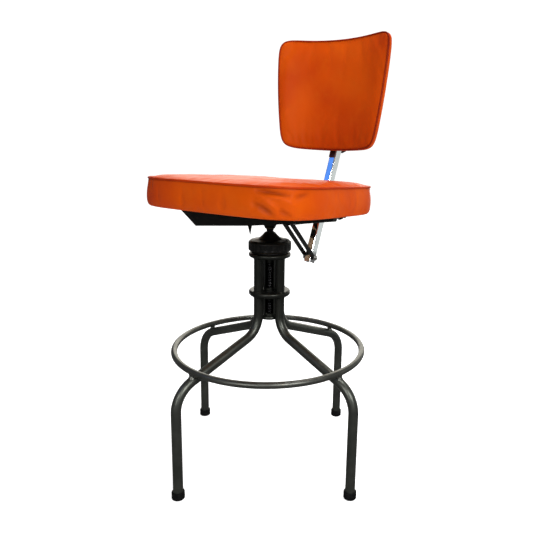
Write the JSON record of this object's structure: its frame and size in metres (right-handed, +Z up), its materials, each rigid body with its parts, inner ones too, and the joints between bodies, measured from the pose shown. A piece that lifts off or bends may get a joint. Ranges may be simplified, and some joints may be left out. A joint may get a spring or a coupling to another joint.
{
  "type": "adjustable swivel stool",
  "caption": "Swivel work stool with a tubular four-leg base, foot ring, hand-nut screw height adjustment, padded seat and a sprung, height and tilt adjustable padded backrest.",
  "frame": {"origin": "on the floor, under the centre of the bounding box; the column axis stands 37.4 mm towards the front of it", "axes": "+Z up, -Y the way the sitter faces, +X the sitter's left"},
  "size_m": [0.5578, 0.6326, 1.049],
  "materials": {
    "frame_paint": "dark grey hammered enamel, semi-gloss, worn on top of the ring",
    "rubber_tip": "matt black moulded rubber",
    "black_enamel": "black enamel, satin",
    "oiled_steel": "dark oiled steel",
    "bronze_washer": "dull bronze",
    "zinc_plate": "zinc plated, slightly dull",
    "board_wood": "bare plywood",
    "seat_vinyl": "orange vinyl-coated upholstery fabric over foam, semi-gloss, fine grain",
    "welt_vinyl": "piping in a deeper orange-red vinyl",
    "back_shell": "orange vinyl over a pressed panel",
    "chrome_bar": "polished chrome plate",
    "maroon_bracket": "dark maroon enamel",
    "knob_plastic": "black moulded plastic"
  },
  "bodies": {
    "base": {"leg_1": "frame_paint", "leg_2": "frame_paint", "leg_3": "frame_paint", "leg_4": "frame_paint", "rubber_foot_1": "rubber_tip", "rubber_foot_2": "rubber_tip", "rubber_foot_3": "rubber_tip", "rubber_foot_4": "rubber_tip", "foot_ring": "frame_paint", "lower_collar": "frame_paint", "guide_tube": "frame_paint", "top_collar": "frame_paint", "key_screw": "oiled_steel", "bottom_plate": "frame_paint", "bearing_cup": "black_enamel", "thrust_washer": "bronze_washer"},
    "nut": {"hand_nut": "black_enamel"},
    "spindle": {"spindle_screw": "oiled_steel", "stop_pin": "oiled_steel", "swivel_washer": "bronze_washer", "spigot_keeper": "zinc_plate"},
    "seat": {"swivel_hub": "black_enamel", "seat_iron": "black_enamel", "seat_board": "board_wood", "seat_cushion": "seat_vinyl", "seat_welt": "welt_vinyl", "seat_screw_1": "zinc_plate", "seat_screw_2": "zinc_plate", "seat_screw_3": "zinc_plate", "seat_screw_4": "zinc_plate", "rail_left": "black_enamel", "rail_right": "black_enamel", "rail_bracket": "black_enamel", "rail_end_block": "black_enamel", "strap_left": "black_enamel", "strap_right": "black_enamel", "anchor_bolt": "zinc_plate", "anchor_nut": "zinc_plate", "rail_bolt": "zinc_plate", "rail_nut": "zinc_plate", "strap_spacer": "oiled_steel", "pivot_bolt": "zinc_plate", "pivot_nut": "zinc_plate"},
    "upright": {"upright": "chrome_bar"},
    "rod": {"tension_rod": "zinc_plate", "return_spring": "oiled_steel", "thrust_sleeve": "zinc_plate"},
    "wing": {"wing_nut": "oiled_steel"},
    "slider": {"back_slider": "maroon_bracket", "clamp_bolt": "zinc_plate", "hinge_pin": "zinc_plate", "clamp_plate": "zinc_plate"},
    "knob": {"clamp_knob": "knob_plastic"},
    "pad": {"hinge_plate": "maroon_bracket", "plate_screw_1": "zinc_plate", "plate_screw_2": "zinc_plate", "back_panel": "back_shell", "back_cushion": "seat_vinyl", "back_welt": "welt_vinyl"}
  },
  "joints": [
    {"name": "hand_nut_spin", "type": "hinge", "parent": "base", "child": "nut", "pos_m": [0, -0.0374, 0.54], "axis": [0, 0, 1], "range_deg": [0, 2520]},
    {"name": "height_slide", "type": "slide", "parent": "base", "child": "spindle", "axis": [0, 0, 1], "range_m": [0, 0.0889]},
    {"name": "seat_swivel", "type": "hinge", "parent": "spindle", "child": "seat", "pos_m": [0, -0.0374, 0.59], "axis": [0, 0, 1], "continuous": true},
    {"name": "back_recline", "type": "hinge", "parent": "seat", "child": "upright", "pos_m": [0, 0.1395, 0.479], "axis": [-1, 0, 0], "range_deg": [0, 5], "stiffness_Nm_per_rad": 200, "springref_deg": -5.73},
    {"name": "rod_slide", "type": "slide", "parent": "seat", "child": "rod", "axis": [0, 0.9978, -0.0656], "range_m": [0, 0.0108]},
    {"name": "wing_nut_turn", "type": "hinge", "parent": "rod", "child": "wing", "pos_m": [0, 0.18244, 0.57951], "axis": [0, 0.9978, -0.0656], "continuous": true},
    {"name": "back_height", "type": "slide", "parent": "upright", "child": "slider", "axis": [0, 0.3928, 0.9196], "range_m": [0, 0.05]},
    {"name": "clamp_knob_turn", "type": "hinge", "parent": "slider", "child": "knob", "pos_m": [0, 0.28065, 0.76885], "axis": [0, 0.9196, -0.3928], "continuous": true},
    {"name": "back_tilt", "type": "hinge", "parent": "slider", "child": "pad", "pos_m": [0, 0.25317, 0.79908], "axis": [-1, 0, 0], "range_deg": [-3, 15]}
  ],
  "couplings": [
    {"joint": "height_slide", "follows": "hand_nut_spin", "m_per_rad": 0.0020213},
    {"joint": "rod_slide", "follows": "back_recline", "m_per_rad": 0.1198}
  ]
}
